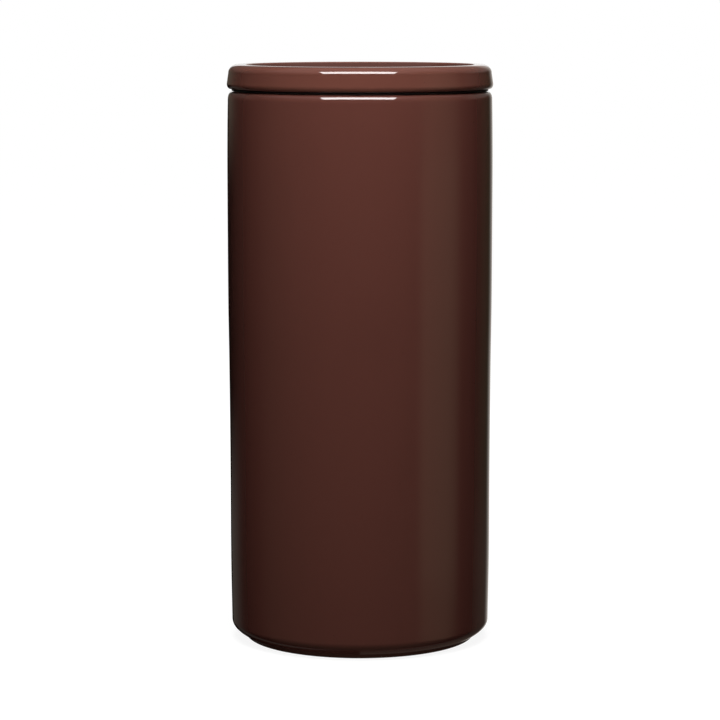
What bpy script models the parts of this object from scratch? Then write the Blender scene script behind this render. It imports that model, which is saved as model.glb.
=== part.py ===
"""Ceramic storage jar with a flat lift-off lid. Units are metres and +Z is up.

Every piece is turned about the Z axis. The origin is the centre of the foot, on the surface
that the jar stands on. The jar body is one thrown and glazed shell. The lid drops onto the rim
with a soft seal between them: the seal's flange lies on the rim, and its band sits in the groove
of the lid's spigot, inside the mouth.
"""

import math

import bmesh
import bpy

# Jar body
JAR_HEIGHT = 0.2520
BODY_RADIUS = 0.0600
SWELL_SHARES = (
    (0.0, 0.9885),
    (0.13, 0.9960),
    (0.35, 0.9980),
    (0.5, 1.0017),
    (0.62, 1.0073),
    (0.87, 1.0095),
    (0.95, 1.0072),
    (1.0, 1.0036),
)
WALL = 0.0062
BASE_THICKNESS = 0.0065
SHOULDER_WIDTH = 0.0018
SHOULDER_HEIGHT = 0.0036
MOUTH_EDGE_RADIUS = 0.0012
INNER_CORNER_RADIUS = 0.0080

# Lower corner of the jar body: a tight turn, then a flatter sweep in to the foot
CORNER_RADIUS = 0.0047
CORNER_TURN = math.radians(44)
SWEEP_RADIUS = 0.0141

# Foot ring under the jar body
FOOT_INSET = 0.0062
FOOT_HEIGHT = 0.0020
FOOT_EDGE_WIDTH = 0.0028
FOOT_LAND_WIDTH = 0.0055
FOOT_INNER_EDGE_RADIUS = 0.0008
FOOT_RECESS_DEPTH = 0.0022

# Running clearance wherever two pieces seat or slide on each other
CLEARANCE = 0.0003

# Seal: a flange on the rim, and a band with wiping lips inside the mouth
FLANGE_THICKNESS = 0.0007
FLANGE_REACH = 0.0044
BAND_THICKNESS = 0.0015
BAND_HEIGHT = 0.0080
LIP_COUNT = 2
LIP_ROOT = 0.0014
LIP_TIP = 0.0006
LIP_RISE = 0.0005

# Lid
LID_OVERHANG = 0.0004
LID_EDGE_HEIGHT = 0.0109
LID_TAPER = 0.0007
LID_LOWER_EDGE_WIDTH = 0.0014
LID_LOWER_EDGE_HEIGHT = 0.0022
LID_UPPER_EDGE_WIDTH = 0.0039
LID_UPPER_EDGE_HEIGHT = 0.0038
LID_LAND_WIDTH = 0.0028
RECESS_EDGE_RADIUS = 0.0012
RECESS_DEPTH = 0.0055
RECESS_CORNER_RADIUS = 0.0030
RECESS_LEAN = math.radians(35)

# Spigot under the lid, with the groove that holds the seal
SPIGOT_GAP = 0.0030
SPIGOT_WALL = 0.0050
SPIGOT_CORNER_RADIUS = 0.0030
BEAD_REACH = 0.0009
BEAD_HEIGHT = 0.0024
BEAD_EDGE_RADIUS = 0.0008

# Fineness of the turned shapes
TURN_STEPS = 64
WALL_STEPS = 10
INNER_WALL_STEPS = 4
MERGE_DISTANCE = 0.00001
SHARP_ANGLE = math.radians(40)

# Surface colours, linear red, green and blue
JAR_BROWN = (0.100, 0.0325, 0.0245)
LID_BROWN = (0.116, 0.0395, 0.0285)
CHARCOAL_SILICONE = (0.020, 0.019, 0.018)


def swell_slope(index):
    """Slope of the swell at one point of its table, from the points beside it."""
    low = SWELL_SHARES[max(index - 1, 0)]
    high = SWELL_SHARES[min(index + 1, len(SWELL_SHARES) - 1)]
    return (high[1] - low[1]) / (high[0] - low[0])


def swell(share):
    """Share of the body's radius at a share of its wall's height, as a smooth curve."""
    index = 0
    while index < len(SWELL_SHARES) - 2 and share > SWELL_SHARES[index + 1][0]:
        index += 1
    (start, low), (end, high) = SWELL_SHARES[index : index + 2]
    span = end - start
    t = (share - start) / span
    ease = t * t * (3 - 2 * t)
    leave = t * (1 - t) ** 2 * span * swell_slope(index)
    arrive = t * t * (t - 1) * span * swell_slope(index + 1)
    return low + (high - low) * ease + leave + arrive


# The sweep's centre lies inside the corner's, by this much across and this much up
SWEEP_SHIFT_IN = (SWEEP_RADIUS - CORNER_RADIUS) * math.cos(CORNER_TURN)
SWEEP_SHIFT_UP = (SWEEP_RADIUS - CORNER_RADIUS) * math.sin(CORNER_TURN)
SWEEP_REACH = max(CORNER_RADIUS + SWEEP_SHIFT_IN - FOOT_INSET, 0.0)
SWEEP_END = math.acos(min(SWEEP_REACH / SWEEP_RADIUS, math.cos(CORNER_TURN)))

WALL_LOW = FOOT_HEIGHT + SWEEP_RADIUS * math.sin(SWEEP_END) - SWEEP_SHIFT_UP
WALL_TOP = JAR_HEIGHT - SHOULDER_HEIGHT


def body_radius(z):
    """Outer radius of the jar's wall at a height."""
    share = (z - WALL_LOW) / (WALL_TOP - WALL_LOW)
    return BODY_RADIUS * swell(min(max(share, 0.0), 1.0))


RIM_RADIUS = body_radius(WALL_TOP)
MOUTH_RADIUS = RIM_RADIUS - WALL
FOOT_RADIUS = body_radius(WALL_LOW) - FOOT_INSET
FLOOR = FOOT_RECESS_DEPTH + BASE_THICKNESS

FLANGE_BOTTOM = JAR_HEIGHT + CLEARANCE
FLANGE_TOP = FLANGE_BOTTOM + FLANGE_THICKNESS
LID_UNDERSIDE = FLANGE_TOP + CLEARANCE
LID_TOP = LID_UNDERSIDE + LID_EDGE_HEIGHT
LID_RADIUS = RIM_RADIUS + LID_OVERHANG

# The recess's wall slopes out from its floor between two roundings
RECESS_ROUNDING = RECESS_CORNER_RADIUS + RECESS_EDGE_RADIUS
RECESS_SLOPE_HEIGHT = RECESS_DEPTH - RECESS_ROUNDING * (1 - math.sin(RECESS_LEAN))
RECESS_SLOPE_RUN = RECESS_SLOPE_HEIGHT * math.tan(RECESS_LEAN)
RECESS_SLOPE_WIDTH = RECESS_SLOPE_RUN + RECESS_ROUNDING * math.cos(RECESS_LEAN)

GROOVE_RADIUS = MOUTH_RADIUS - SPIGOT_GAP
BAND_INNER_RADIUS = GROOVE_RADIUS + CLEARANCE
BAND_OUTER_RADIUS = BAND_INNER_RADIUS + BAND_THICKNESS
BAND_BOTTOM = FLANGE_TOP - BAND_HEIGHT
SPIGOT_BOTTOM = BAND_BOTTOM - CLEARANCE - BEAD_HEIGHT


def arc(centre_r, centre_z, radius, start, end, steps, height=None):
    """Points (r, z) along a round or elliptical arc, with the angles in degrees."""
    up = radius if height is None else height
    points = []
    for step in range(steps + 1):
        angle = math.radians(start + (end - start) * step / steps)
        points.append((centre_r + radius * math.cos(angle), centre_z + up * math.sin(angle)))
    return points


def jar_inside():
    """From the middle of the floor, up the inner wall, to the rim's inner edge."""
    low = FLOOR + INNER_CORNER_RADIUS
    top = JAR_HEIGHT - MOUTH_EDGE_RADIUS
    corner_centre = body_radius(low) - WALL - INNER_CORNER_RADIUS
    points = [(0.0, FLOOR)]
    points += arc(corner_centre, low, INNER_CORNER_RADIUS, -90, 0, 5)
    for step in range(1, INNER_WALL_STEPS):
        z = low + (top - low) * step / INNER_WALL_STEPS
        points.append((body_radius(z) - WALL, z))
    points += arc(MOUTH_RADIUS + MOUTH_EDGE_RADIUS, top, MOUTH_EDGE_RADIUS, 180, 90, 3)
    return points


def jar_outside():
    """From the rim's outer edge, down the swelling wall and round the corner, to the foot."""
    points = arc(RIM_RADIUS - SHOULDER_WIDTH, WALL_TOP, SHOULDER_WIDTH, 90, 0, 5, SHOULDER_HEIGHT)
    for step in range(1, WALL_STEPS):
        z = WALL_TOP + (WALL_LOW - WALL_TOP) * step / WALL_STEPS
        points.append((body_radius(z), z))
    turn = math.degrees(CORNER_TURN)
    centre = body_radius(WALL_LOW) - CORNER_RADIUS
    points += arc(centre, WALL_LOW, CORNER_RADIUS, 0, -turn, 4)
    sweep_centre = centre - SWEEP_SHIFT_IN
    sweep_height = WALL_LOW + SWEEP_SHIFT_UP
    sweep_end = math.degrees(SWEEP_END)
    points += arc(sweep_centre, sweep_height, SWEEP_RADIUS, -turn, -sweep_end, 4)[1:]
    return points


def jar_foot():
    """From the body's lower corner, round the foot ring, to the middle of the underside."""
    land_outer = FOOT_RADIUS - FOOT_EDGE_WIDTH
    land_inner = land_outer - FOOT_LAND_WIDTH
    inner_side = land_inner - FOOT_INNER_EDGE_RADIUS
    points = arc(land_outer, FOOT_HEIGHT, FOOT_EDGE_WIDTH, 0, -90, 4, FOOT_HEIGHT)[1:]
    points += arc(land_inner, FOOT_INNER_EDGE_RADIUS, FOOT_INNER_EDGE_RADIUS, 270, 180, 3)
    points += [(inner_side, FOOT_RECESS_DEPTH), (0.0, FOOT_RECESS_DEPTH)]
    return points


def jar_profile():
    """The jar's whole half section, from the floor inside to the underside."""
    return jar_inside() + jar_outside() + jar_foot()


def lid_profile():
    """The lid's half section, from the middle of its recess to the middle of its underside."""
    low_width = LID_LOWER_EDGE_WIDTH
    low_height = LID_LOWER_EDGE_HEIGHT
    top_width = LID_UPPER_EDGE_WIDTH
    top_height = LID_UPPER_EDGE_HEIGHT
    upper_centre = LID_RADIUS - LID_TAPER - top_width
    lower_centre = LID_RADIUS - low_width
    recess = upper_centre - LID_LAND_WIDTH
    recess_floor = LID_TOP - RECESS_DEPTH
    lean = math.degrees(RECESS_LEAN)
    corner = recess - RECESS_SLOPE_WIDTH
    points = [(0.0, recess_floor)]
    points += arc(corner, recess_floor + RECESS_CORNER_RADIUS, RECESS_CORNER_RADIUS, -90, -lean, 4)
    points += arc(recess, LID_TOP - RECESS_EDGE_RADIUS, RECESS_EDGE_RADIUS, 180 - lean, 90, 3)
    points += arc(upper_centre, LID_TOP - top_height, top_width, 90, 0, 6, top_height)
    points += arc(lower_centre, LID_UNDERSIDE + low_height, low_width, 0, -90, 4, low_height)
    return points + spigot_profile()


def spigot_profile():
    """From the lid's underside, down round the grooved spigot, to the middle of the underside."""
    bead_radius = GROOVE_RADIUS + BEAD_REACH
    bead_top = SPIGOT_BOTTOM + BEAD_HEIGHT
    inner_radius = GROOVE_RADIUS - SPIGOT_WALL
    low = SPIGOT_BOTTOM + BEAD_EDGE_RADIUS
    points = [(GROOVE_RADIUS, LID_UNDERSIDE), (GROOVE_RADIUS, bead_top)]
    points.append((bead_radius, bead_top - BEAD_REACH))
    points += arc(bead_radius - BEAD_EDGE_RADIUS, low, BEAD_EDGE_RADIUS, 0, -90, 3)
    points += arc(inner_radius + BEAD_EDGE_RADIUS, low, BEAD_EDGE_RADIUS, 270, 180, 3)
    top = LID_UNDERSIDE - SPIGOT_CORNER_RADIUS
    points += arc(inner_radius - SPIGOT_CORNER_RADIUS, top, SPIGOT_CORNER_RADIUS, 0, 90, 4)
    points.append((0.0, LID_UNDERSIDE))
    return points


def lip(z):
    """One wiping lip of the seal, which leans up towards the mouth's wall."""
    tip_radius = MOUTH_RADIUS - CLEARANCE
    return [
        (BAND_OUTER_RADIUS, z + LIP_ROOT / 2),
        (tip_radius, z + LIP_RISE + LIP_TIP / 2),
        (tip_radius, z + LIP_RISE - LIP_TIP / 2),
        (BAND_OUTER_RADIUS, z - LIP_ROOT / 2),
    ]


def seal_profile():
    """The seal's closed section, from its top inner edge round its outer side."""
    flange_radius = MOUTH_RADIUS + FLANGE_REACH
    edge = FLANGE_THICKNESS / 2
    points = [(BAND_INNER_RADIUS, FLANGE_TOP)]
    points += arc(flange_radius - edge, FLANGE_TOP - edge, edge, 90, -90, 4)
    points.append((BAND_OUTER_RADIUS, FLANGE_BOTTOM))
    free_height = FLANGE_BOTTOM - BAND_BOTTOM
    for index in range(LIP_COUNT):
        points += lip(FLANGE_BOTTOM - free_height * (index + 1) / (LIP_COUNT + 1))
    points += [(BAND_OUTER_RADIUS, BAND_BOTTOM), (BAND_INNER_RADIUS, BAND_BOTTOM)]
    return points


def material(name, colour, roughness, coat):
    """A Principled material in one plain colour."""
    made = bpy.data.materials.new(name)
    made.use_nodes = True
    shader = made.node_tree.nodes["Principled BSDF"]
    shader.inputs["Base Color"].default_value = (*colour, 1.0)
    shader.inputs["Roughness"].default_value = roughness
    shader.inputs["Metallic"].default_value = 0.0
    shader.inputs["Coat Weight"].default_value = coat
    return made


def turned(name, points, closed, origin_z, finish):
    """An object made by turning a half section about Z, with its origin on the axis."""
    section = bmesh.new()
    verts = [section.verts.new((r, 0.0, z - origin_z)) for r, z in points]
    pairs = list(zip(verts, verts[1:]))
    if closed:
        pairs.append((verts[-1], verts[0]))
    edges = [section.edges.new(pair) for pair in pairs]
    bmesh.ops.spin(
        section,
        geom=verts + edges,
        cent=(0.0, 0.0, 0.0),
        axis=(0.0, 0.0, 1.0),
        angle=math.tau,
        steps=TURN_STEPS,
    )
    bmesh.ops.remove_doubles(section, verts=section.verts, dist=MERGE_DISTANCE)
    bmesh.ops.recalc_face_normals(section, faces=section.faces)
    mesh = bpy.data.meshes.new(name)
    section.to_mesh(mesh)
    section.free()
    mesh.shade_smooth()
    mesh.set_sharp_from_angle(angle=SHARP_ANGLE)
    mesh.materials.append(finish)
    piece = bpy.data.objects.new(name, mesh)
    piece.location = (0.0, 0.0, origin_z)
    bpy.context.scene.collection.objects.link(piece)
    return piece


def lift_carrier():
    """An empty on the jar's axis at the rim, which the seal and the lid hang from."""
    carrier = bpy.data.objects.new("lid_lift", None)
    carrier.location = (0.0, 0.0, JAR_HEIGHT)
    bpy.context.scene.collection.objects.link(carrier)
    return carrier


def hang(piece, carrier):
    """Parents a piece to the carrier and leaves it where it is."""
    piece.parent = carrier
    piece.location.z -= carrier.location.z


def main():
    """Builds the jar, the seal and the lid."""
    for old in list(bpy.data.objects):
        bpy.data.objects.remove(old, do_unlink=True)
    turned("jar_body", jar_profile(), False, 0.0, material("jar_glaze", JAR_BROWN, 0.06, 0.4))
    carrier = lift_carrier()
    silicone = material("seal_silicone", CHARCOAL_SILICONE, 0.5, 0.0)
    hang(turned("seal_ring", seal_profile(), True, FLANGE_BOTTOM, silicone), carrier)
    lid_glaze = material("lid_glaze", LID_BROWN, 0.06, 0.4)
    hang(turned("lid", lid_profile(), False, LID_UNDERSIDE, lid_glaze), carrier)


main()
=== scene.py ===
"""Looks of a tall glazed storage jar with a flat lift-off lid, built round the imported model.

Units are metres, +Z is up, and every piece is turned about the Z axis. Each piece is drawn as a
half section, and one Geometry Nodes tree turns it. The points of a section also carry how thick
the glaze lies there, which the finishes read, and how far the surface may wander from true.
"""

import logging
import math
from dataclasses import dataclass
from enum import Enum

import bpy
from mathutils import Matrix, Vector


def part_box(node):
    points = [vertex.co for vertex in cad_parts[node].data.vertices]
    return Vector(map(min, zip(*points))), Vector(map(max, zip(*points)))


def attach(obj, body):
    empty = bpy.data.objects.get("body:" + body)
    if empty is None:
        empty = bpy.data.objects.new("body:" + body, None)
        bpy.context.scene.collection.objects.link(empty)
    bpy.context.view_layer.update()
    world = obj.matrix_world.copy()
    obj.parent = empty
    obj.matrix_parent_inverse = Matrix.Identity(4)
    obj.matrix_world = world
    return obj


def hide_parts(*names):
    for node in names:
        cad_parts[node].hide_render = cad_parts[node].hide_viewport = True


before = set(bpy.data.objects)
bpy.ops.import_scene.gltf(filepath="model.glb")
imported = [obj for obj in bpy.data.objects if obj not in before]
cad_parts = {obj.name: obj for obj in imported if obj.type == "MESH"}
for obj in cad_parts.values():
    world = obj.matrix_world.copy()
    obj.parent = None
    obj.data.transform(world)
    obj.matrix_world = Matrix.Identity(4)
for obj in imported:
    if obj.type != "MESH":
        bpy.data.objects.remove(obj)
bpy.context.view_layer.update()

MILLIMETRE = 0.001
FLAT_STEP = 6 * MILLIMETRE
FINE_STEP = 1 * MILLIMETRE
NUMBER = "NodeSocketFloat"
TINT = "NodeSocketColor"

log = logging.getLogger("storage_jar")

Colour = tuple[float, float, float]
Value = float | Colour | bpy.types.NodeSocket
Sockets = bpy.types.bpy_prop_collection


class Glazing(Enum):
    """How thick the glaze lies on a stretch of a section, as a share of its full thickness."""

    BARE = 0.0
    THIN = 0.45
    FULL = 1.0
    POOLED = 1.5


class Wander(Enum):
    """How freely the fired surface strays from true, at the start and the end of a stretch."""

    HELD = (0.0, 0.0)
    FREE = (1.0, 1.0)
    RISING = (0.0, 1.0)
    FALLING = (1.0, 0.0)


@dataclass(frozen=True)
class SectionPoint:
    """One point of a half section.

    Args:
        radius: Distance from the axis.
        height: Height above the surface that the jar stands on.
        glaze: Thickness of the glaze as a share of its full thickness.
        wander: Share of the full waviness that the surface may have here.
    """

    radius: float
    height: float
    glaze: float
    wander: float


class Section:
    """A half section, drawn from its start to its end with the solid on the right-hand side."""

    SUPPORT = 0.15 * MILLIMETRE
    LARGEST_SUPPORT_SHARE = 0.3

    def __init__(self) -> None:
        """Starts an empty section."""
        self.points: list[SectionPoint] = []

    def start(self, radius: float, height: float) -> None:
        """Puts down the first point."""
        self.points = [SectionPoint(radius, height, Glazing.FULL.value, 0.0)]

    def run(
        self,
        radius: float,
        height: float,
        step: float = 4 * MILLIMETRE,
        glazing: Glazing = Glazing.FULL,
        wander: Wander = Wander.HELD,
    ) -> None:
        """Draws a straight stretch from the last point, with a point near each end.

        Args:
            radius: Radius that the stretch ends at.
            height: Height that the stretch ends at.
            step: Longest distance between two points.
            glazing: How the glaze lies on the stretch.
            wander: How freely the surface strays along it.
        """
        last = self.points[-1]
        across, up = radius - last.radius, height - last.height
        length = math.hypot(across, up)
        # The points near the ends keep the shading flat between them.
        edge = min(self.SUPPORT / length, self.LARGEST_SUPPORT_SHARE) if length else 0.0
        count = max(math.ceil(length / step), 1)
        inner = [edge + (1 - 2 * edge) * index / count for index in range(count + 1)]
        for share in [*inner, 1.0]:
            place = (last.radius + across * share, last.height + up * share)
            self._put(place, glazing.value, wander, share)

    def turn(
        self,
        centre: tuple[float, float],
        reach: float | tuple[float, float],
        start: float,
        end: float,
        steps: int,
        glazing: Glazing = Glazing.FULL,
        wander: Wander = Wander.HELD,
    ) -> None:
        """Draws a round or elliptical arc, on which the glaze is as given halfway along.

        Args:
            centre: Radius and height of the arc's centre.
            reach: The arc's radius, or half the width and half the height of its ellipse.
            start: Angle that the arc starts at, in degrees from outwards.
            end: Angle that the arc ends at, in degrees from outwards.
            steps: Number of straight steps in the arc.
            glazing: How the glaze lies on the middle of the arc.
            wander: How freely the surface strays along it.
        """
        wide, high = reach if isinstance(reach, tuple) else (reach, reach)
        full = Glazing.FULL.value
        for index in range(steps + 1):
            share = index / steps
            angle = math.radians(start + (end - start) * share)
            radius = centre[0] + wide * math.cos(angle)
            height = centre[1] + high * math.sin(angle)
            glaze = full + (glazing.value - full) * math.sin(math.pi * share) ** 2
            self._put((radius, height), glaze, wander, share)

    def curve(self, points: list[tuple[float, float]], wander: Wander = Wander.FREE) -> None:
        """Draws through points that a formula gave, fully glazed."""
        for index, place in enumerate(points):
            self._put(place, Glazing.FULL.value, wander, index / max(len(points) - 1, 1))

    def _put(
        self, place: tuple[float, float], glaze: float, wander: Wander, share: float
    ) -> None:
        """Adds one point at a share of its stretch."""
        begin, finish = wander.value
        self.points.append(SectionPoint(*place, glaze, begin + (finish - begin) * share))


class Graph:
    """Short ways to add and join the nodes of one tree."""

    def __init__(self, tree: bpy.types.NodeTree) -> None:
        """Works on a tree, which is emptied first."""
        self.tree = tree
        tree.nodes.clear()

    def put(self, socket: bpy.types.NodeSocket, value: Value) -> None:
        """Joins an input to a socket, or sets its value.

        Args:
            socket: The input.
            value: What goes into it.
        """
        if isinstance(value, bpy.types.NodeSocket):
            self.tree.links.new(value, socket)
        elif isinstance(value, tuple) and socket.type == "RGBA":
            socket.default_value = (*value, 1.0)
        else:
            socket.default_value = value

    def fill(self, node: bpy.types.Node, inputs: dict[str | int, Value]) -> None:
        """Puts values or sockets into a node's inputs, given by name or place."""
        for key, value in inputs.items():
            self.put(node.inputs[key], value)

    def add(
        self, kind: str, inputs: dict[str | int, Value] | None = None, **settings: object
    ) -> bpy.types.Node:
        """Adds a node.

        Args:
            kind: Blender's name for the kind of node.
            inputs: Values or sockets for its inputs, by name or place.
            **settings: The node's own settings.

        Returns:
            The node.
        """
        node = self.tree.nodes.new(kind)
        for name, value in settings.items():
            setattr(node, name, value)
        self.fill(node, inputs or {})
        return node

    def math(self, operation: str, *values: Value) -> bpy.types.NodeSocket:
        """Works one sum out with a Math node and returns its result."""
        node = self.add("ShaderNodeMath", dict(enumerate(values)), operation=operation)
        return node.outputs[0]

    def ramp(
        self, value: Value, low: Value, high: Value, start: Value = 0.0, end: Value = 1.0
    ) -> bpy.types.NodeSocket:
        """Takes a value smoothly from start to end as it goes from low to high."""
        inputs = {"Value": value, "From Min": low, "From Max": high, "To Min": start, "To Max": end}
        return self.add("ShaderNodeMapRange", inputs, interpolation_type="SMOOTHSTEP").outputs[0]

    def blend(self, share: Value, first: Value, second: Value) -> bpy.types.NodeSocket:
        """Blends two colours, from the first at 0 to the second at 1."""
        # A Mix node has its sockets for numbers and vectors before those for colours.
        inputs = {0: share, 6: first, 7: second}
        return self.add("ShaderNodeMix", inputs, data_type="RGBA").outputs[2]

    def noise(
        self, vector: Value, scale: Value, detail: float = 2.0, *, seed: Value
    ) -> bpy.types.NodeSocket:
        """A noise pattern's value, about half on average."""
        inputs = {"Vector": vector, "W": seed, "Scale": scale, "Detail": detail}
        return self.add("ShaderNodeTexNoise", inputs, noise_dimensions="4D").outputs["Fac"]

    def around(self, value: Value, amount: Value) -> bpy.types.NodeSocket:
        """Turns a pattern about one half into a swing of at most the amount either way."""
        centred = self.math("SUBTRACT", value, 0.5)
        return self.math("MULTIPLY", centred, self.math("MULTIPLY", amount, 2.0))

    def window(
        self, value: Value, low: float, high: float, rise: float, fall: float
    ) -> bpy.types.NodeSocket:
        """Is 1 from low to high and 0 outside, over a rise and a fall that lie within."""
        begin = self.ramp(value, low, low + rise)
        return self.math("MULTIPLY", begin, self.ramp(value, high - fall, high, 1.0, 0.0))

    def object_place(self) -> bpy.types.NodeSocket:
        """The shaded point's place in its object."""
        return self.add("ShaderNodeTexCoord").outputs["Object"]

    def end_with(self, kind: str, shader: bpy.types.Node) -> None:
        """Ends the tree with an output node of a kind, which a shader feeds."""
        self.add(kind, {"Surface": shader.outputs[0]})

    def end_glossy(self, inputs: dict[str | int, Value], height: Value) -> None:
        """Ends a material's tree with a principled shader.

        Args:
            inputs: The shader's inputs.
            height: How far the surface's fine relief stands out.
        """
        bump = self.add("ShaderNodeBump", {"Distance": 1.0, "Height": height})
        inputs = inputs | {"Normal": bump.outputs[0]}
        self.end_with("ShaderNodeOutputMaterial", self.add("ShaderNodeBsdfPrincipled", inputs))


def new_group(
    name: str, kind: str, inputs: dict[str, str], outputs: dict[str, str]
) -> tuple[Graph, Sockets, bpy.types.Node]:
    """Makes a node group with named sockets.

    Args:
        name: The group's name.
        kind: Blender's name for the kind of tree.
        inputs: Each input's socket type, by name.
        outputs: Each output's socket type, by name.

    Returns:
        The group's graph, the sockets that its inputs come in by, and its output node.
    """
    tree = bpy.data.node_groups.new(name, kind)
    for way, sockets in (("INPUT", inputs), ("OUTPUT", outputs)):
        for title, socket_type in sockets.items():
            tree.interface.new_socket(name=title, in_out=way, socket_type=socket_type)
    graph = Graph(tree)
    return graph, graph.add("NodeGroupInput").outputs, graph.add("NodeGroupOutput")


def new_material(name: str) -> tuple[bpy.types.Material, Graph]:
    """Makes a material.

    Args:
        name: Its name.

    Returns:
        The material and its graph, which is empty.
    """
    made = bpy.data.materials.new(name)
    made.use_nodes = True
    return made, Graph(made.node_tree)


def new_object(name: str, data: bpy.types.ID) -> bpy.types.Object:
    """Adds an object to the scene.

    Args:
        name: Its name.
        data: Its mesh, lamp or lens.

    Returns:
        The object.
    """
    made = bpy.data.objects.new(name, data)
    bpy.context.scene.collection.objects.link(made)
    return made


@dataclass(frozen=True)
class Waviness:
    """How far a fired surface strays from true.

    Args:
        seed: Which of the patterns it is.
        height: How far the broad waves stand in or out.
        scale: How many broad waves there are in a metre.
        ripple_height: How far the short ripples stand in or out.
        ripple_scale: How many short ripples there are in a metre.
    """

    seed: float
    height: float = 0.10 * MILLIMETRE
    scale: float = 11.0
    ripple_height: float = 0.012 * MILLIMETRE
    ripple_scale: float = 70.0


class Lathe:
    """The Geometry Nodes tree that turns a section about Z, made once for every piece."""

    TURN_STEPS = 288
    PATH_RADIUS = 0.2
    MERGE_DISTANCE = 0.000001
    GLAZE = "glaze"
    WANDER = "wander"

    def __init__(self) -> None:
        """Builds the tree."""
        inputs = {
            "Section": "NodeSocketGeometry",
            "Turn Steps": "NodeSocketInt",
            "Path Radius": NUMBER,
            "Wave Height": NUMBER,
            "Wave Scale": NUMBER,
            "Ripple Height": NUMBER,
            "Ripple Scale": NUMBER,
            "Seed": NUMBER,
            "Finish": "NodeSocketMaterial",
        }
        outputs = {"Piece": "NodeSocketGeometry"}
        graph, given, result = new_group("turned_piece", "GeometryNodeTree", inputs, outputs)
        self.tree = graph.tree
        items = graph.tree.interface.items_tree
        self.identifiers = {item.name: item.identifier for item in items}
        moved = self._fired(graph, given, self._turned(graph, given))
        smooth = graph.add("GeometryNodeSetShadeSmooth", {"Geometry": moved})
        real = graph.add("GeometryNodeRealizeInstances", {0: smooth.outputs[0]})
        inputs = {"Geometry": real.outputs[0], "Material": given["Finish"]}
        dressed = graph.add("GeometryNodeSetMaterial", inputs)
        graph.put(result.inputs["Piece"], dressed.outputs[0])

    def _turned(self, graph: Graph, given: Sockets) -> bpy.types.NodeSocket:
        """Sweeps the section round a circle about Z and closes its seam and its poles.

        Args:
            graph: The tree's graph.
            given: The sockets that its inputs come in by.

        Returns:
            The swept shell.
        """
        section = graph.add("GeometryNodeMeshToCurve", {0: given["Section"]})
        inputs = {"Resolution": given["Turn Steps"], "Radius": given["Path Radius"]}
        path = graph.add("GeometryNodeCurvePrimitiveCircle", inputs)
        inputs = {"Curve": path.outputs[0], "Profile Curve": section.outputs[0]}
        swept = graph.add("GeometryNodeCurveToMesh", inputs)
        inputs = {"Geometry": swept.outputs[0], "Distance": self.MERGE_DISTANCE}
        return graph.add("GeometryNodeMergeByDistance", inputs).outputs[0]

    def _fired(
        self, graph: Graph, given: Sockets, shell: bpy.types.NodeSocket
    ) -> bpy.types.NodeSocket:
        """Moves the surface in and out a little, as firing and glazing leave it.

        Args:
            graph: The tree's graph.
            given: The sockets that its inputs come in by.
            shell: The shell as it is turned.

        Returns:
            The shell with its waves and ripples.
        """
        place = graph.add("GeometryNodeInputPosition").outputs[0]
        waves = graph.noise(place, given["Wave Scale"], 1.0, seed=given["Seed"])
        ripples = graph.noise(place, given["Ripple Scale"], 1.0, seed=given["Seed"])
        waves = graph.around(waves, given["Wave Height"])
        ripples = graph.around(ripples, given["Ripple Height"])
        freedom = graph.add("GeometryNodeInputNamedAttribute", {"Name": self.WANDER})
        amount = graph.math("MULTIPLY", graph.math("ADD", waves, ripples), freedom.outputs[0])
        inputs = {0: graph.add("GeometryNodeInputNormal").outputs[0], "Scale": amount}
        offset = graph.add("ShaderNodeVectorMath", inputs, operation="SCALE")
        inputs = {"Geometry": shell, "Offset": offset.outputs[0]}
        return graph.add("GeometryNodeSetPosition", inputs).outputs[0]

    def turn(
        self,
        name: str,
        section: Section,
        closed: bool,
        finish: bpy.types.Material,
        waviness: Waviness,
    ) -> bpy.types.Object:
        """Turns a section into a piece.

        Args:
            name: The piece's name.
            section: Its half section.
            closed: True where the section joins up with its own start.
            finish: Its material.
            waviness: How far its surface strays from true.

        Returns:
            The piece, as a plain mesh with no modifier.
        """
        count = len(section.points)
        corners = [(p.radius - self.PATH_RADIUS, -p.height, 0.0) for p in section.points]
        edges = [(index, index + 1) for index in range(count - 1)]
        if closed:
            edges.append((count - 1, 0))
        outline = bpy.data.meshes.new(f"{name}_section")
        outline.from_pydata(corners, edges, [])
        for title in (self.GLAZE, self.WANDER):
            layer = outline.attributes.new(title, "FLOAT", "POINT")
            layer.data.foreach_set("value", [getattr(p, title) for p in section.points])
        drawn = new_object(f"{name}_section", outline)
        modifier = drawn.modifiers.new("turned", "NODES")
        modifier.node_group = self.tree
        inputs = {
            "Turn Steps": self.TURN_STEPS,
            "Path Radius": self.PATH_RADIUS,
            "Finish": finish,
            "Wave Height": waviness.height,
            "Wave Scale": waviness.scale,
            "Ripple Height": waviness.ripple_height,
            "Ripple Scale": waviness.ripple_scale,
            "Seed": waviness.seed,
        }
        for title, value in inputs.items():
            modifier[self.identifiers[title]] = value
        graph = bpy.context.evaluated_depsgraph_get()
        mesh = bpy.data.meshes.new_from_object(drawn.evaluated_get(graph))
        mesh.name = name
        bpy.data.objects.remove(drawn)
        bpy.data.meshes.remove(outline)
        return new_object(name, mesh)


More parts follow.
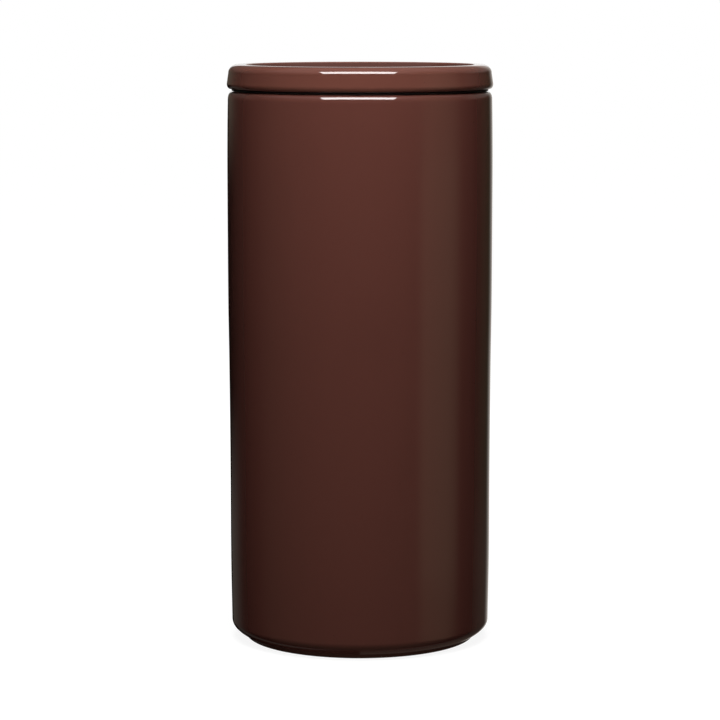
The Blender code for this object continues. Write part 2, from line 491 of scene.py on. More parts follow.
class Effects:
    """Shader node groups that more than one finish uses, each built once."""

    SURFACE = {"Colour": TINT, "Roughness": NUMBER, "Height": NUMBER}
    CLOUD_SWING = 0.22
    STREAK_STRETCH = (1.0, 1.0, 0.1)
    STREAK_SCALE = 55.0
    STREAK_SWING = 0.12
    THIN_RANGE = (0.35, 0.95)
    POOLED_RANGE = (1.0, 1.55)
    SPECK_CELLS = 850.0
    SPECK_RARITY = 0.982
    SPECK_RANGE = (0.1, 0.22)
    SPECK_SHARE = 0.5
    SPECK_PIT = 0.006 * MILLIMETRE
    PEEL_SCALE = 260.0
    PEEL_HEIGHT = 0.0012 * MILLIMETRE
    FINE_SCALE = 900.0
    FINE_HEIGHT = 0.0002 * MILLIMETRE
    GLAZE_ROUGHNESS = 0.055
    GLAZE_ROUGHNESS_SWING = 0.015
    GRIT_SCALE = 1400.0
    GRIT_RANGE = (0.52, 0.72)
    GRIT_HEIGHT = 0.03 * MILLIMETRE
    WARMTH_SCALE = 60.0
    WARMTH_SWING = 0.25
    CLAY_ROUGHNESS = (0.8, 0.95)
    CLAY_ROUGH_RANGE = (0.3, 0.7)
    FLATTENED = (1.0, 1.0, 0.0)
    RING_SCALE = 9000.0
    RING_HEIGHT = 0.004 * MILLIMETRE
    MARK_RANGE = (0.5, 0.75)

    def __init__(self) -> None:
        """Builds the groups."""
        self._make_glaze()
        self._make_clay()
        self._make_handling()

    def _make_glaze(self) -> None:
        """Makes coloured glaze, which breaks to another colour where it is thin or pooled."""
        inputs = {
            "Thickness": NUMBER,
            "Full Colour": TINT,
            "Thin Colour": TINT,
            "Pooled Colour": TINT,
            "Speck Colour": TINT,
            "Cloud Scale": NUMBER,
        }
        graph, given, result = new_group("glaze_break", "ShaderNodeTree", inputs, self.SURFACE)
        self.glaze = graph.tree
        place = graph.object_place()
        clouds = graph.noise(place, given["Cloud Scale"], 3.0, seed=1.0)
        inputs = {"Vector": place, "Scale": self.STREAK_STRETCH}
        stretched = graph.add("ShaderNodeMapping", inputs).outputs[0]
        streaks = graph.noise(stretched, self.STREAK_SCALE, seed=2.0)
        swing = graph.around(clouds, self.CLOUD_SWING)
        thickness = graph.math("ADD", given["Thickness"], swing)
        thickness = graph.math("ADD", thickness, graph.around(streaks, self.STREAK_SWING))
        thin = graph.ramp(thickness, *self.THIN_RANGE, 1.0, 0.0)
        pooled = graph.ramp(thickness, *self.POOLED_RANGE)
        colour = graph.blend(thin, given["Full Colour"], given["Thin Colour"])
        colour = graph.blend(pooled, colour, given["Pooled Colour"])
        inputs = {"Vector": place, "Scale": self.SPECK_CELLS}
        cells = graph.add("ShaderNodeTexVoronoi", inputs).outputs
        chosen = graph.add("ShaderNodeSeparateColor", {0: cells["Color"]}).outputs[0]
        speck = graph.math("GREATER_THAN", chosen, self.SPECK_RARITY)
        near = graph.ramp(cells["Distance"], *self.SPECK_RANGE, 1.0, 0.0)
        speck = graph.math("MULTIPLY", speck, near)
        share = graph.math("MULTIPLY", speck, self.SPECK_SHARE)
        peel = graph.noise(place, self.PEEL_SCALE, 1.0, seed=3.0)
        fine = graph.noise(place, self.FINE_SCALE, 1.0, seed=4.0)
        peel = graph.around(peel, self.PEEL_HEIGHT)
        height = graph.math("ADD", peel, graph.around(fine, self.FINE_HEIGHT))
        pit = graph.math("MULTIPLY", speck, self.SPECK_PIT)
        dulled = graph.around(clouds, self.GLAZE_ROUGHNESS_SWING)
        outputs = {
            "Colour": graph.blend(share, colour, given["Speck Colour"]),
            "Roughness": graph.math("ADD", dulled, self.GLAZE_ROUGHNESS),
            "Height": graph.math("SUBTRACT", height, pit),
        }
        graph.fill(result, outputs)

    def _make_clay(self) -> None:
        """Makes bare fired stoneware, with fine grit and the rings that sponging leaves."""
        inputs = {"Clay Colour": TINT, "Grit Colour": TINT}
        graph, given, result = new_group("bare_stoneware", "ShaderNodeTree", inputs, self.SURFACE)
        self.clay = graph.tree
        place = graph.object_place()
        grit = graph.noise(place, self.GRIT_SCALE, 3.0, seed=5.0)
        warmth = graph.noise(place, self.WARMTH_SCALE, 3.0, seed=6.0)
        amount = graph.ramp(grit, *self.GRIT_RANGE)
        amount = graph.math("ADD", amount, graph.around(warmth, self.WARMTH_SWING))
        inputs = {"Vector": place, "Scale": self.FLATTENED}
        level = graph.add("ShaderNodeMapping", inputs).outputs[0]
        radius = graph.add("ShaderNodeVectorMath", {0: level}, operation="LENGTH")
        rings = graph.math("MULTIPLY", radius.outputs["Value"], self.RING_SCALE)
        rings = graph.math("MULTIPLY", graph.math("SINE", rings), self.RING_HEIGHT)
        outputs = {
            "Colour": graph.blend(amount, given["Clay Colour"], given["Grit Colour"]),
            "Roughness": graph.ramp(grit, *self.CLAY_ROUGH_RANGE, *self.CLAY_ROUGHNESS),
            "Height": graph.math("ADD", rings, graph.around(grit, self.GRIT_HEIGHT)),
        }
        graph.fill(result, outputs)

    def _make_handling(self) -> None:
        """Makes faint marks of handling, which dull a surface in soft patches."""
        inputs = {"Roughness": NUMBER, "Amount": NUMBER, "Patch Scale": NUMBER}
        outputs = {"Roughness": NUMBER}
        graph, given, result = new_group("handling_marks", "ShaderNodeTree", inputs, outputs)
        self.handling = graph.tree
        patches = graph.noise(graph.object_place(), given["Patch Scale"], 4.0, seed=7.0)
        patches = graph.ramp(patches, *self.MARK_RANGE)
        marks = graph.math("MULTIPLY", patches, given["Amount"])
        graph.put(result.inputs["Roughness"], graph.math("ADD", given["Roughness"], marks))


@dataclass(frozen=True)
class Glaze:
    """High-gloss reddish brown glaze over stoneware, which shows bare where the glaze ends.

    Args:
        full: Colour at the glaze's full thickness.
        thin: Colour where it breaks over an edge.
        pooled: Colour where it gathers in a corner.
        speck: Colour of the iron specks in it.
        clay: Colour of the bare stoneware.
        grit: Colour of the grit in the stoneware.
        coat: Weight of the clear top layer.
        coat_roughness: Roughness of the clear top layer.
        cloud_scale: How many clouds of thicker and thinner glaze there are in a metre.
        bare_range: Thicknesses between which the stoneware goes from bare to covered.
        handling: How much handling dulls it.
        patch_scale: How many dulled patches there are in a metre.
    """

    full: Colour
    thin: Colour
    pooled: Colour
    speck: Colour = (0.030, 0.012, 0.010)
    clay: Colour = (0.360, 0.270, 0.190)
    grit: Colour = (0.150, 0.100, 0.070)
    coat: float = 0.4
    coat_roughness: float = 0.03
    cloud_scale: float = 16.0
    bare_range: tuple[float, float] = (0.04, 0.2)
    handling: float = 0.03
    patch_scale: float = 35.0

    def material(self, name: str, effects: Effects) -> bpy.types.Material:
        """Makes the finish's material.

        Args:
            name: The material's name.
            effects: The shared node groups.

        Returns:
            The material.
        """
        made, graph = new_material(name)
        lies = graph.add("ShaderNodeAttribute", attribute_name=Lathe.GLAZE).outputs["Fac"]
        bare = graph.ramp(lies, *self.bare_range, 1.0, 0.0)
        inputs = {
            "Thickness": lies,
            "Full Colour": self.full,
            "Thin Colour": self.thin,
            "Pooled Colour": self.pooled,
            "Speck Colour": self.speck,
            "Cloud Scale": self.cloud_scale,
        }
        glaze = graph.add("ShaderNodeGroup", inputs, node_tree=effects.glaze).outputs
        inputs = {"Clay Colour": self.clay, "Grit Colour": self.grit}
        clay = graph.add("ShaderNodeGroup", inputs, node_tree=effects.clay).outputs
        inputs = {
            "Roughness": glaze["Roughness"],
            "Amount": self.handling,
            "Patch Scale": self.patch_scale,
        }
        handled = graph.add("ShaderNodeGroup", inputs, node_tree=effects.handling).outputs[0]
        inputs = {
            "Base Color": graph.blend(bare, glaze["Colour"], clay["Colour"]),
            "Roughness": graph.ramp(bare, 0.0, 1.0, handled, clay["Roughness"]),
            "Coat Weight": graph.ramp(bare, 0.0, 1.0, self.coat, 0.0),
            "Coat Roughness": self.coat_roughness,
        }
        graph.end_glossy(inputs, graph.ramp(bare, 0.0, 1.0, glaze["Height"], clay["Height"]))
        return made


@dataclass(frozen=True)
class Silicone:
    """Matt charcoal silicone, as it leaves its mould.

    Args:
        colour: Its colour.
        bloom: Colour of the faint paler bloom on it.
        roughness: Its roughness where nobody has handled it.
        handling: How much handling dulls it.
        patch_scale: How many dulled patches there are in a metre.
        bloom_scale: How many patches of bloom there are in a metre.
        bloom_range: Values of its pattern between which the bloom goes from none to full.
        grain_scale: How many grains there are in a metre.
        grain_height: How far the grain stands in or out.
    """

    colour: Colour = (0.020, 0.019, 0.018)
    bloom: Colour = (0.042, 0.041, 0.040)
    roughness: float = 0.46
    handling: float = 0.14
    patch_scale: float = 110.0
    bloom_scale: float = 90.0
    bloom_range: tuple[float, float] = (0.45, 0.75)
    grain_scale: float = 2600.0
    grain_height: float = 0.008 * MILLIMETRE

    def material(self, name: str, effects: Effects) -> bpy.types.Material:
        """Makes the finish's material.

        Args:
            name: The material's name.
            effects: The shared node groups.

        Returns:
            The material.
        """
        made, graph = new_material(name)
        place = graph.object_place()
        clouds = graph.noise(place, self.bloom_scale, 4.0, seed=8.0)
        grain = graph.noise(place, self.grain_scale, seed=9.0)
        inputs = {
            "Roughness": self.roughness,
            "Amount": self.handling,
            "Patch Scale": self.patch_scale,
        }
        handled = graph.add("ShaderNodeGroup", inputs, node_tree=effects.handling).outputs[0]
        bloom = graph.ramp(clouds, *self.bloom_range)
        colour = graph.blend(bloom, self.colour, self.bloom)
        inputs = {"Base Color": colour, "Roughness": handled}
        graph.end_glossy(inputs, graph.around(grain, self.grain_height))
        return made


def add_piece(piece: bpy.types.Object, node: str, body: str) -> None:
    """Puts a piece in a node's place.

    Args:
        piece: The piece.
        node: The node that it replaces.
        body: The body that it rides on.
    """
    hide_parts(node)
    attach(piece, body)
    log.info("%s: %d faces", piece.name, len(piece.data.polygons))


class TurnedPiece:
    """A sub-assembly that is one turned piece."""

    NAME: str
    NODE: str
    BODY: str
    SLOT: str
    CLOSED = False
    waviness: Waviness

    def section(self) -> Section:
        """The piece's half section, which each sub-assembly draws."""
        raise NotImplementedError

    def build(self, lathe: Lathe, finish: bpy.types.Material) -> None:
        """Turns the piece, with its finish, and puts it in its node's place."""
        piece = lathe.turn(self.NAME, self.section(), self.CLOSED, finish, self.waviness)
        add_piece(piece, self.NODE, self.BODY)


@dataclass
class JarBody(TurnedPiece):
    """The tall turned shell, from its rim down to its foot ring."""

    NAME = "jar_shell"
    NODE = "jar_body"
    BODY = "jar"
    SLOT = "jar_glaze"
    height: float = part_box("jar_body")[1].z
    radius: float = 60.0 * MILLIMETRE
    swell_shares: tuple[tuple[float, float], ...] = (
        (0.0, 0.9885),
        (0.13, 0.9960),
        (0.35, 0.9980),
        (0.5, 1.0017),
        (0.62, 1.0073),
        (0.87, 1.0095),
        (0.95, 1.0072),
        (1.0, 1.0036),
    )
    wall: float = 6.2 * MILLIMETRE
    base_thickness: float = 6.5 * MILLIMETRE
    shoulder: tuple[float, float] = (1.8 * MILLIMETRE, 3.6 * MILLIMETRE)
    mouth_edge: float = 1.2 * MILLIMETRE
    inner_corner: float = 8.0 * MILLIMETRE
    corner: float = 4.7 * MILLIMETRE
    corner_turn: float = 44.0
    sweep: float = 14.1 * MILLIMETRE
    foot_inset: float = 6.2 * MILLIMETRE
    foot_height: float = 2.0 * MILLIMETRE
    foot_edge: float = 2.8 * MILLIMETRE
    foot_land: float = 5.5 * MILLIMETRE
    foot_inner_edge: float = 0.8 * MILLIMETRE
    foot_recess: float = 2.2 * MILLIMETRE
    foot_rounded_to: float = 60.0
    foot_roll_start: float = 66.0
    foot_roll_end: float = 70.0
    foot_bare_from: float = 72.0
    glaze_roll: float = 0.12 * MILLIMETRE
    wall_step: float = 3.0 * MILLIMETRE
    waviness: Waviness = Waviness(seed=11.0)

    def __post_init__(self) -> None:
        """Works out the places that follow from the sizes."""
        turn = math.radians(self.corner_turn)
        self.shift_in = (self.sweep - self.corner) * math.cos(turn)
        self.shift_up = (self.sweep - self.corner) * math.sin(turn)
        reach = self.corner + self.shift_in - self.foot_inset
        self.sweep_end = math.acos(reach / self.sweep)
        drop = self.sweep * math.sin(self.sweep_end) - self.shift_up
        self.wall_low = self.foot_height + drop
        self.wall_top = self.height - self.shoulder[1]
        self.rim_radius = self.radius_at(self.wall_top)
        self.mouth_radius = self.rim_radius - self.wall
        self.foot_radius = self.radius_at(self.wall_low) - self.foot_inset

    def _slope(self, index: int) -> float:
        """Works out the swell's slope at one point of its table, from the points beside it.

        Args:
            index: The point's place in the table.

        Returns:
            The slope.
        """
        low = self.swell_shares[max(index - 1, 0)]
        high = self.swell_shares[min(index + 1, len(self.swell_shares) - 1)]
        return (high[1] - low[1]) / (high[0] - low[0])

    def radius_at(self, z: float) -> float:
        """Outer radius of the wall at a height.

        Args:
            z: The height.

        Returns:
            The radius, along the smooth curve of the swell.
        """
        share = (z - self.wall_low) / (self.wall_top - self.wall_low)
        share = min(max(share, 0.0), 1.0)
        index = 0
        while index < len(self.swell_shares) - 2 and share > self.swell_shares[index + 1][0]:
            index += 1
        (start, low), (end, high) = self.swell_shares[index : index + 2]
        span = end - start
        t = (share - start) / span
        ease = low + (high - low) * t * t * (3 - 2 * t)
        leave = t * (1 - t) ** 2 * span * self._slope(index)
        arrive = t * t * (t - 1) * span * self._slope(index + 1)
        return self.radius * (ease + leave + arrive)

    def _wall_points(self, start: float, end: float, inset: float) -> list[tuple[float, float]]:
        """Works out points along the wall between two heights.

        Args:
            start: Height before the first point.
            end: Height after the last one.
            inset: How far in from the wall's outside they lie.

        Returns:
            Each point's radius and height.
        """
        count = math.ceil(abs(end - start) / self.wall_step)
        heights = [start + (end - start) * index / count for index in range(1, count)]
        return [(self.radius_at(z) - inset, z) for z in heights]

    def _inside(self, section: Section) -> None:
        """Draws the floor and the inner wall up to the mouth.

        Args:
            section: The section so far.
        """
        floor = self.foot_recess + self.base_thickness
        low = floor + self.inner_corner
        top = self.height - self.mouth_edge
        centre = self.radius_at(low) - self.wall - self.inner_corner
        section.start(0.0, floor)
        section.run(centre, floor, FLAT_STEP)
        section.turn((centre, low), self.inner_corner, -90, 0, 12, Glazing.POOLED)
        section.curve(self._wall_points(low, top, self.wall), Wander.HELD)
        centre = self.mouth_radius + self.mouth_edge
        section.turn((centre, top), self.mouth_edge, 180, 90, 6, Glazing.THIN)

    def _outside(self, section: Section) -> None:
        """Draws the rim, the swelling wall and the lower corner down to the foot.

        Args:
            section: The section so far.
        """
        centre = self.rim_radius - self.shoulder[0]
        section.run(centre, self.height)
        section.turn((centre, self.wall_top), self.shoulder, 90, 0, 18, wander=Wander.RISING)
        section.curve(self._wall_points(self.wall_top, self.wall_low, 0.0))
        centre = self.radius_at(self.wall_low) - self.corner
        turn = -self.corner_turn
        section.turn((centre, self.wall_low), self.corner, 0, turn, 10, wander=Wander.FALLING)
        middle = (centre - self.shift_in, self.wall_low + self.shift_up)
        section.turn(middle, self.sweep, turn, -math.degrees(self.sweep_end), 12)

    def _foot(self, section: Section) -> None:
        """Draws the foot: its glazed edge, the bare land and the glazed recess.

        Args:
            section: The section so far.
        """
        outer = self.foot_radius - self.foot_edge
        inner = outer - self.foot_land
        edge = self.foot_inner_edge
        roll = self.glaze_roll
        middle = (outer, self.foot_height)
        reach = (self.foot_edge, self.foot_height)
        section.turn(middle, reach, 0, -self.foot_rounded_to, 8)
        section.turn(middle, reach, -self.foot_roll_start, -self.foot_roll_end, 1)
        bare = math.radians(self.foot_bare_from)
        bare_radius = outer + self.foot_edge * math.cos(bare)
        bare_height = self.foot_height * (1 - math.sin(bare))
        section.run(bare_radius - roll, bare_height + roll / 2, glazing=Glazing.BARE)
        section.run(outer, 0.0, glazing=Glazing.BARE)
        section.run(inner, 0.0, FINE_STEP, Glazing.BARE)
        section.run(inner - edge / 2, edge / 4, glazing=Glazing.BARE)
        section.run(inner - edge / 2 - roll, edge / 4)
        section.run(inner - edge, edge)
        section.run(inner - edge, self.foot_recess - edge)
        middle = (inner - 2 * edge, self.foot_recess - edge)
        section.turn(middle, edge, 0, 90, 5, Glazing.POOLED)
        section.run(0.0, self.foot_recess, FLAT_STEP)

    def section(self) -> Section:
        """Draws the half section.

        Returns:
            The section.
        """
        section = Section()
        self._inside(section)
        self._outside(section)
        self._foot(section)
        return section


@dataclass
class SealRing(TurnedPiece):
    """The silicone ring: a flange between the rim and the lid, and a band with wiping lips."""

    NAME = "soft_seal"
    NODE = "seal_ring"
    BODY = "seal"
    SLOT = "seal_silicone"
    CLOSED = True
    jar: JarBody
    clearance: float = 0.3 * MILLIMETRE
    flange: float = 0.7 * MILLIMETRE
    flange_reach: float = 4.4 * MILLIMETRE
    band: float = 1.5 * MILLIMETRE
    band_height: float = 8.0 * MILLIMETRE
    spigot_gap: float = 3.0 * MILLIMETRE
    lip_count: int = 2
    lip_root: float = 1.4 * MILLIMETRE
    lip_tip: float = 0.6 * MILLIMETRE
    lip_rise: float = 0.5 * MILLIMETRE
    parting: float = 0.06 * MILLIMETRE
    round_edge: float = 0.25 * MILLIMETRE
    waviness: Waviness = Waviness(seed=31.0)

    def __post_init__(self) -> None:
        """Works out the places that follow from the sizes."""
        self.bottom = self.jar.height + self.clearance
        self.top = self.bottom + self.flange
        self.inner = self.jar.mouth_radius - self.spigot_gap + self.clearance
        self.outer = self.inner + self.band
        self.band_bottom = self.top - self.band_height

    def _lip(self, section: Section, z: float) -> None:
        """Draws one wiping lip, which leans up towards the mouth's wall.

        Args:
            section: The section so far.
            z: Height of the lip's root.
        """
        tip = self.lip_tip / 2
        middle = (self.jar.mouth_radius - self.clearance - tip, z + self.lip_rise)
        section.run(self.outer, z + self.lip_root / 2)
        section.run(middle[0], middle[1] + tip)
        section.turn(middle, tip, 80, -80, 6)
        section.run(self.outer, z - self.lip_root / 2)

    def section(self) -> Section:
        """Draws the closed section, from its top inner edge round its outer side.

        Returns:
            The section.
        """
        section = Section()
        edge = self.flange / 2
        small = self.round_edge
        end = self.jar.mouth_radius + self.flange_reach - edge
        section.start(self.inner, self.top - small)
        section.turn((self.inner + small, self.top - small), small, 170, 90, 4)
        section.run(end, self.top)
        section.turn((end, self.top - edge), edge, 88, 12, 5)
        section.run(end + edge + self.parting, self.top - edge + self.parting)
        section.run(end + edge + self.parting, self.top - edge - self.parting)
        section.turn((end, self.top - edge), edge, -12, -90, 5)
        section.run(self.outer, self.bottom)
        free = self.bottom - self.band_bottom
        for index in range(self.lip_count):
            self._lip(section, self.bottom - free * (index + 1) / (self.lip_count + 1))
        low = self.band_bottom + small
        section.run(self.outer, low)
        section.turn((self.outer - small, low), small, -10, -90, 4)
        section.run(self.inner + small, self.band_bottom)
        section.turn((self.inner + small, low), small, -100, -180, 4)
        section.run(self.inner, self.top - 2 * small)
        return section


@dataclass
class Lid(TurnedPiece):
    """The flat lid: a raised rim round a shallow recess, and a grooved spigot underneath."""

    NAME = "flat_lid"
    NODE = "lid"
    BODY = "lid"
    SLOT = "lid_glaze"
    jar: JarBody
    seal: SealRing
    overhang: float = 0.4 * MILLIMETRE
    edge_height: float = 10.9 * MILLIMETRE
    taper: float = 0.7 * MILLIMETRE
    lower_edge: tuple[float, float] = (1.4 * MILLIMETRE, 2.2 * MILLIMETRE)
    upper_edge: tuple[float, float] = (3.9 * MILLIMETRE, 3.8 * MILLIMETRE)
    land: float = 2.8 * MILLIMETRE
    recess_edge: float = 1.2 * MILLIMETRE
    recess_depth: float = 5.5 * MILLIMETRE
    recess_corner: float = 3.0 * MILLIMETRE
    recess_lean: float = 35.0
    spigot_wall: float = 5.0 * MILLIMETRE
    spigot_corner: float = 3.0 * MILLIMETRE
    bead_reach: float = 0.9 * MILLIMETRE
    bead_height: float = 2.4 * MILLIMETRE
    bead_edge: float = 0.8 * MILLIMETRE
    groove_fillet: float = 0.6 * MILLIMETRE
    floor_step: float = 5.0 * MILLIMETRE
    waviness: Waviness = Waviness(seed=21.0)

    def __post_init__(self) -> None:
        """Works out the places that follow from the sizes."""
        self.underside = self.seal.top + self.seal.clearance
        self.top = self.underside + self.edge_height
        self.radius = self.jar.rim_radius + self.overhang
        self.groove = self.jar.mouth_radius - self.seal.spigot_gap
        self.spigot_bottom = self.seal.band_bottom - self.seal.clearance - self.bead_height

    def _top(self, section: Section) -> None:
        """Draws the recess, the rim's land and the outer edge down to the underside.

        Args:
            section: The section so far.
        """
        upper = self.radius - self.taper - self.upper_edge[0]
        recess = upper - self.land
        floor = self.top - self.recess_depth
        corner = self.recess_corner
        lean = math.radians(self.recess_lean)
        rounds = corner + self.recess_edge
        slope = (self.recess_depth - rounds * (1 - math.sin(lean))) * math.tan(lean)
        bottom = recess - rounds * math.cos(lean) - slope
        section.start(0.0, floor)
        section.run(bottom, floor, self.floor_step)
        middle = (bottom, floor + corner)
        section.turn(middle, corner, -90, -self.recess_lean, 8, Glazing.POOLED)
        foot = recess - self.recess_edge * math.cos(lean)
        rise = self.top - self.recess_edge * (1 - math.sin(lean))
        # The recess's sloping wall takes the darker pooled colour along its whole length, not only
        # in its corner.
        section.run(foot, rise, glazing=Glazing.POOLED)
        middle = (recess, self.top - self.recess_edge)
        section.turn(middle, self.recess_edge, 180 - self.recess_lean, 90, 8, Glazing.THIN)
        section.run(upper, self.top, FINE_STEP)
        middle = (upper, self.top - self.upper_edge[1])
        section.turn(middle, self.upper_edge, 90, 0, 22, wander=Wander.RISING)
        low = (self.radius - self.lower_edge[0], self.underside + self.lower_edge[1])
        section.run(self.radius, low[1], FINE_STEP, wander=Wander.FALLING)
        section.turn(low, self.lower_edge, 0, -90, 12)

    def _under(self, section: Section) -> None:
        """Draws the underside and the spigot, whose end is bare where it stood in the kiln.

        Args:
            section: The section so far.
        """
        bead = self.groove + self.bead_reach
        bead_top = self.spigot_bottom + self.bead_height
        inner = self.groove - self.spigot_wall
        low = self.spigot_bottom + self.bead_edge
        fillet = self.groove_fillet
        edge = self.bead_edge
        section.run(self.groove + fillet, self.underside)
        middle = (self.groove + fillet, self.underside - fillet)
        section.turn(middle, fillet, 90, 180, 4, Glazing.POOLED)
        section.run(self.groove, bead_top)
        section.run(bead, bead_top - self.bead_reach)
        section.run(bead, low)
        section.turn((bead - edge, low), edge, 0, -60, 5, Glazing.THIN)
        section.run(bead - edge, self.spigot_bottom, glazing=Glazing.BARE)
        section.run(inner + edge, self.spigot_bottom, FINE_STEP, Glazing.BARE)
        section.turn((inner + edge, low), edge, 240, 180, 5, Glazing.THIN)
        top = self.underside - self.spigot_corner
        section.run(inner, top)
        corner = self.spigot_corner
        section.turn((inner - corner, top), corner, 0, 90, 8, Glazing.POOLED)
        section.run(0.0, self.underside, FLAT_STEP)

    def section(self) -> Section:
        """Draws the half section.

        Returns:
            The section.
        """
        section = Section()
        self._top(section)
        self._under(section)
        return section


class Seen(Enum):
    """What a lamp shows itself in: soft light on a surface, or its mirror image in gloss."""

    LIGHT = "light"
    GLOSS = "gloss"


@dataclass(frozen=True)
class SoftBox:
    """A rectangular lamp.

    Args:
        name: Its name.
        centre: Where its middle is.
        aim: The point that it faces.
        width: Its width.
        height: Its height.
        strength: Its power in watts for each square metre.
        seen: What it shows itself in.
    """

    name: str
    centre: tuple[float, float, float]
    aim: tuple[float, float, float]
    width: float
    height: float
    strength: float
    seen: Seen

    def hang(self) -> None:
        """Adds the lamp to the scene."""
        lamp = bpy.data.lights.new(self.name, "AREA")
        lamp.shape = "RECTANGLE"
        lamp.size = self.width
        lamp.size_y = self.height
        lamp.energy = self.strength * self.width * self.height
        hung = new_object(self.name, lamp)
        hung.location = self.centre
        towards = Vector(self.aim) - Vector(self.centre)
        hung.rotation_euler = towards.to_track_quat("-Z", "Y").to_euler()
        hung.visible_camera = False
        hung.visible_diffuse = self.seen is Seen.LIGHT
        hung.visible_glossy = self.seen is Seen.GLOSS


@dataclass(frozen=True)
class Panel:
    """A panel of the room round the jar, seen only in its gloss.

    Args:
        colour: Its colour and brightness together.
        sides: Azimuths between which it stands, in degrees from the front, the right positive.
        side_blur: Width over which each of its two sides fades, in degrees.
        levels: Elevations between which it stands, in degrees.
        level_blur: Height over which its bottom and top fade, in degrees.
    """

    colour: Colour
    sides: tuple[float, float]
    side_blur: tuple[float, float] = (2.0, 2.0)
    levels: tuple[float, float] = (-90.0, 90.0)
    level_blur: float = 2.0

    def mask(self, graph: Graph, azimuth: Value, elevation: Value) -> bpy.types.NodeSocket:
        """Works out how much of the panel shows in each direction.

        Args:
            graph: The world's graph.
            azimuth: The direction's azimuth in degrees.
            elevation: The direction's elevation in degrees.

        Returns:
            The share, from 0 to 1.
        """
        blur = self.level_blur
        across = graph.window(azimuth, *self.sides, *self.side_blur)
        upright = graph.window(elevation, *self.levels, blur, blur)
        return graph.math("MULTIPLY", across, upright)


@dataclass
class Studio:
    """The white floor and surroundings, the lamps, and the camera."""

    floor_size: float = 12.0
    shadow_reach: tuple[float, float] = (0.22, 0.45)
    shadow_depth: float = 0.16
    floor_bounce: float = 0.07
    lamplit_share: float = 0.6
    ambient: Colour = (0.003, 0.003, 0.003)
    room: Colour = (0.028, 0.034, 0.022)
    panels: tuple[Panel, ...] = (
        Panel((0.002, 0.002, 0.002), (-400.0, -80.0), (2.0, 25.0)),
        Panel((0.002, 0.002, 0.002), (90.0, 400.0), (10.0, 2.0)),
        Panel((0.035, 0.033, 0.020), (118.0, 400.0), (20.0, 2.0)),
        Panel((0.060, 0.046, 0.037), (112.0, 400.0), (26.0, 2.0), (-400.0, -8.5), 3.0),
        Panel((0.34, 0.33, 0.32), (-400.0, 400.0), levels=(16.0, 400.0), level_blur=30.0),
        Panel((0.09, 0.08, 0.07), (-400.0, -95.0), (2.0, 25.0), (4.0, 60.0), 8.0),
        Panel((0.18, 0.165, 0.15), (95.0, 400.0), (25.0, 2.0), (4.0, 60.0), 8.0),
        Panel((0.076, 0.068, 0.060), (-180.0, -121.0), (2.0, 26.0), (-400.0, -7.5), 3.0),
        Panel((0.100, 0.085, 0.065), (-180.0, -123.0), (2.0, 31.0), (-4.0, 9.0), 3.0),
        Panel((0.0, 0.0, 0.0), (-400.0, -160.0), (2.0, 5.0), (-60.0, -0.5), 2.0),
        Panel((0.0, 0.0, 0.0), (-400.0, -146.0), (2.0, 10.0), (-400.0, -13.0), 3.0),
        Panel((0.155, 0.140, 0.090), (48.0, 102.0), (16.0, 26.0), (-30.0, 50.0), 8.0),
        Panel((0.21, 0.19, 0.125), (48.0, 102.0), (16.0, 26.0), (-14.0, -1.0), 2.5),
        Panel((0.50, 0.46, 0.42), (150.0, 400.0), (19.0, 2.0), (-24.0, 24.0), 6.0),
        Panel((1.0, 1.0, 1.0), (168.0, 400.0), (6.0, 2.0), (-0.5, 12.0), 2.5),
        Panel((1.0, 1.0, 1.0), (-400.0, -168.0), (2.0, 6.0), (-0.5, 12.0), 2.5),
    )
    lamps: tuple[SoftBox, ...] = (
        SoftBox(
            "front_softbox", (0.0, -0.362, 0.63), (0.0, 0.0, 0.371), 0.36, 0.423, 29.0, Seen.LIGHT
        ),
        SoftBox(
            "front_softbox_face",
            (-0.014, -0.371, 0.600),
            (-0.014, -0.017, 0.347),
            0.523,
            0.230,
            44.0,
            Seen.GLOSS,
        ),
        SoftBox("low_fill", (0.0, -1.3, 0.18), (0.0, 0.0, 0.13), 0.6, 0.34, 8.5, Seen.LIGHT),
        SoftBox("top_softbox", (0.0, 0.0, 0.95), (0.0, 0.0, 0.26), 0.6, 0.6, 8.0, Seen.LIGHT),
        SoftBox("back_softbox", (0.0, 0.70, 0.45), (0.0, 0.0, 0.14), 0.5, 0.5, 9.0, Seen.LIGHT),
        SoftBox("foot_lamp", (0.0, 0.0, -0.12), (0.0, 0.001, 0.0), 0.10, 0.10, 4.0, Seen.LIGHT),
    )
    camera_distance: float = 1.347
    camera_height: float = 0.295
    camera_pitch: float = 7.040
    camera_lens: float = 147.34
    camera_sensor: float = 36.0

    def _surroundings(self) -> None:
        """Makes the world: white to the eye, a room with panels to the gloss, a dim fill beside."""
        world = bpy.data.worlds.new("studio")
        bpy.context.scene.world = world
        world.use_nodes = True
        graph = Graph(world.node_tree)
        way = graph.add("ShaderNodeTexCoord").outputs["Generated"]
        across, along, up = graph.add("ShaderNodeSeparateXYZ", {0: way}).outputs
        front = graph.math("MULTIPLY", along, -1.0)
        azimuth = graph.math("DEGREES", graph.math("ARCTAN2", across, front))
        elevation = graph.math("DEGREES", graph.math("ARCSINE", up))
        gloss: Value = self.room
        for panel in self.panels:
            gloss = graph.blend(panel.mask(graph, azimuth, elevation), gloss, panel.colour)
        path = graph.add("ShaderNodeLightPath")
        colour = graph.blend(path.outputs["Is Glossy Ray"], self.ambient, gloss)
        colour = graph.blend(self._to_the_eye(graph), colour, (1.0, 1.0, 1.0))
        background = graph.add("ShaderNodeBackground", {"Color": colour, "Strength": 1.0})
        graph.end_with("ShaderNodeOutputWorld", background)

    @staticmethod
    def _to_the_eye(graph: Graph) -> bpy.types.NodeSocket:
        """Is 1 for what the camera sees, straight or through something clear, and 0 otherwise."""
        path = graph.add("ShaderNodeLightPath").outputs
        return graph.math("MAXIMUM", path["Is Camera Ray"], path["Is Transmission Ray"])

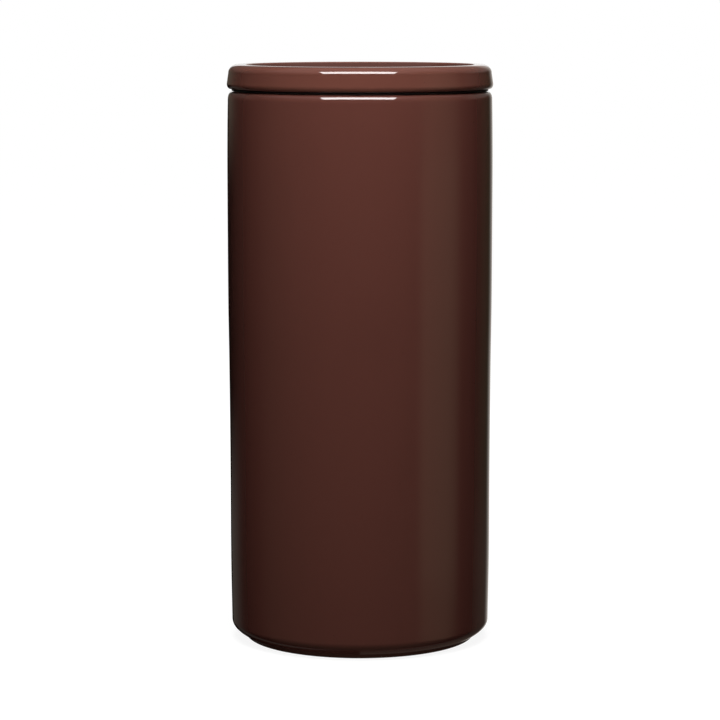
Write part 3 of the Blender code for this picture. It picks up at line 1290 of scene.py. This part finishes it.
    def _floor(self) -> None:
        """Lays the floor: white but for a soft shadow, open to gloss, to lamps and from below."""
        half = self.floor_size / 2
        corners = [(-half, -half, 0.0), (half, -half, 0.0), (half, half, 0.0), (-half, half, 0.0)]
        mesh = bpy.data.meshes.new("studio_floor")
        mesh.from_pydata(corners, [], [(0, 1, 2, 3)])
        floor = new_object("studio_floor", mesh)
        made, graph = new_material("studio_floor")
        place = graph.object_place()
        distance = graph.add("ShaderNodeVectorMath", {0: place}, operation="LENGTH")
        near = graph.ramp(distance.outputs["Value"], *self.shadow_reach, self.shadow_depth, 0.0)
        seen = self._to_the_eye(graph)
        lamplit = graph.math("MULTIPLY", near, self.lamplit_share)
        white = graph.math("SUBTRACT", 1.0, lamplit)
        glow = graph.add("ShaderNodeEmission", {"Color": (1.0, 1.0, 1.0)})
        graph.put(glow.inputs["Strength"], graph.math("MULTIPLY", seen, white))
        shade = graph.blend(seen, (self.floor_bounce,) * 3, (self.shadow_depth,) * 3)
        lit = graph.add("ShaderNodeBsdfDiffuse", {"Color": shade})
        both = graph.add("ShaderNodeAddShader", {0: glow.outputs[0], 1: lit.outputs[0]})
        clear = graph.add("ShaderNodeBsdfTransparent")
        below = graph.add("ShaderNodeNewGeometry").outputs["Backfacing"]
        path = graph.add("ShaderNodeLightPath").outputs
        through = graph.math("MAXIMUM", path["Is Glossy Ray"], path["Is Shadow Ray"])
        opened = graph.math("MAXIMUM", below, through)
        inputs = {0: opened, 1: both.outputs[0], 2: clear.outputs[0]}
        mixed = graph.add("ShaderNodeMixShader", inputs)
        graph.end_with("ShaderNodeOutputMaterial", mixed)
        mesh.materials.append(made)

    def _camera(self) -> None:
        """Sets the camera up where the photograph was taken from."""
        lens = bpy.data.cameras.new("photo_camera")
        lens.sensor_width = self.camera_sensor
        lens.lens = self.camera_lens
        camera = new_object("photo_camera", lens)
        camera.location = (0.0, -self.camera_distance, self.camera_height)
        camera.rotation_euler = (math.radians(90 - self.camera_pitch), 0.0, 0.0)
        bpy.context.scene.camera = camera

    def build(self) -> None:
        """Sets up everything round the jar."""
        self._surroundings()
        self._floor()
        for lamp in self.lamps:
            lamp.hang()
        self._camera()
        bpy.context.scene.view_settings.view_transform = "Standard"
        log.info("studio: %d lamps", len(self.lamps))


def main() -> None:
    """Builds the jar, its seal and its lid, and sets up the studio."""
    logging.basicConfig(level=logging.INFO, format="%(name)s: %(message)s")
    Studio().build()
    effects = Effects()
    lathe = Lathe()
    # The jar and the lid share one glaze; the lid's copy is written lighter, which is painted light
    # for the brighter light that falls on the lid.
    jar_glaze = Glaze((0.100, 0.0325, 0.0245), (0.175, 0.068, 0.048), (0.060, 0.020, 0.0145))
    lid_glaze = Glaze((0.116, 0.0395, 0.0285), (0.190, 0.078, 0.056), (0.070, 0.024, 0.0175))
    jar = JarBody()
    seal = SealRing(jar)
    lid = Lid(jar, seal)
    jar.build(lathe, jar_glaze.material("jar_glaze", effects))
    seal.build(lathe, Silicone().material("seal_silicone", effects))
    lid.build(lathe, lid_glaze.material("lid_glaze", effects))


if __name__ == "__main__":
    main()
